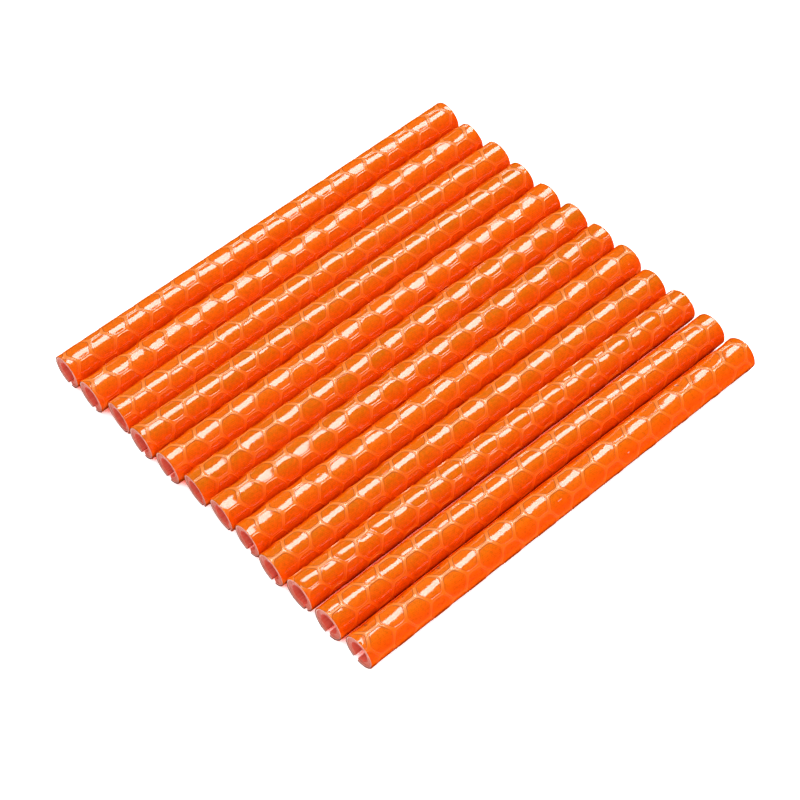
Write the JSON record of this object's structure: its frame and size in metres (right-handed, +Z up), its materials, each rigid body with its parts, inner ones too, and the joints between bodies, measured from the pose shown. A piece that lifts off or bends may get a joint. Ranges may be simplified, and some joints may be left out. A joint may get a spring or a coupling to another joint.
{
  "type": "spoke reflector tube set",
  "caption": "Row of loose slit tubes that snap over bicycle spokes, each an extruded plastic clip wrapped in honeycomb retroreflective film.",
  "frame": {"origin": "on the ground, under the middle of the row's bounding box", "axes": "+X across the row from tube_01 to tube_12, +Y along the tubes, +Z up from the ground"},
  "size_m": [0.0674, 0.0756, 0.0054],
  "materials": {
    "clip": "satin, slightly translucent extruded plastic",
    "backing_film": "thin white film with adhesive",
    "prism_film": "glossy orange prismatic film with welded honeycomb lines"
  },
  "bodies": {
    "tube_01": {"clip_01": "clip", "backing_film_01": "backing_film", "prism_film_01": "prism_film"},
    "tube_02": {"clip_02": "clip", "backing_film_02": "backing_film", "prism_film_02": "prism_film"},
    "tube_03": {"clip_03": "clip", "backing_film_03": "backing_film", "prism_film_03": "prism_film"},
    "tube_04": {"clip_04": "clip", "backing_film_04": "backing_film", "prism_film_04": "prism_film"},
    "tube_05": {"clip_05": "clip", "backing_film_05": "backing_film", "prism_film_05": "prism_film"},
    "tube_06": {"clip_06": "clip", "backing_film_06": "backing_film", "prism_film_06": "prism_film"},
    "tube_07": {"clip_07": "clip", "backing_film_07": "backing_film", "prism_film_07": "prism_film"},
    "tube_08": {"clip_08": "clip", "backing_film_08": "backing_film", "prism_film_08": "prism_film"},
    "tube_09": {"clip_09": "clip", "backing_film_09": "backing_film", "prism_film_09": "prism_film"},
    "tube_10": {"clip_10": "clip", "backing_film_10": "backing_film", "prism_film_10": "prism_film"},
    "tube_11": {"clip_11": "clip", "backing_film_11": "backing_film", "prism_film_11": "prism_film"},
    "tube_12": {"clip_12": "clip", "backing_film_12": "backing_film", "prism_film_12": "prism_film"}
  },
  "joints": [
    {"name": "lift_01", "type": "slide", "parent": "tube_07", "child": "tube_01", "axis": [0, 0, 1], "range_m": [0, 0.03]},
    {"name": "lift_02", "type": "slide", "parent": "tube_07", "child": "tube_02", "axis": [0, 0, 1], "range_m": [0, 0.03]},
    {"name": "lift_03", "type": "slide", "parent": "tube_07", "child": "tube_03", "axis": [0, 0, 1], "range_m": [0, 0.03]},
    {"name": "lift_04", "type": "slide", "parent": "tube_07", "child": "tube_04", "axis": [0, 0, 1], "range_m": [0, 0.03]},
    {"name": "lift_05", "type": "slide", "parent": "tube_07", "child": "tube_05", "axis": [0, 0, 1], "range_m": [0, 0.03]},
    {"name": "lift_06", "type": "slide", "parent": "tube_07", "child": "tube_06", "axis": [0, 0, 1], "range_m": [0, 0.03]},
    {"name": "lift_08", "type": "slide", "parent": "tube_07", "child": "tube_08", "axis": [0, 0, 1], "range_m": [0, 0.03]},
    {"name": "lift_09", "type": "slide", "parent": "tube_07", "child": "tube_09", "axis": [0, 0, 1], "range_m": [0, 0.03]},
    {"name": "lift_10", "type": "slide", "parent": "tube_07", "child": "tube_10", "axis": [0, 0, 1], "range_m": [0, 0.03]},
    {"name": "lift_11", "type": "slide", "parent": "tube_07", "child": "tube_11", "axis": [0, 0, 1], "range_m": [0, 0.03]},
    {"name": "lift_12", "type": "slide", "parent": "tube_07", "child": "tube_12", "axis": [0, 0, 1], "range_m": [0, 0.03]}
  ]
}
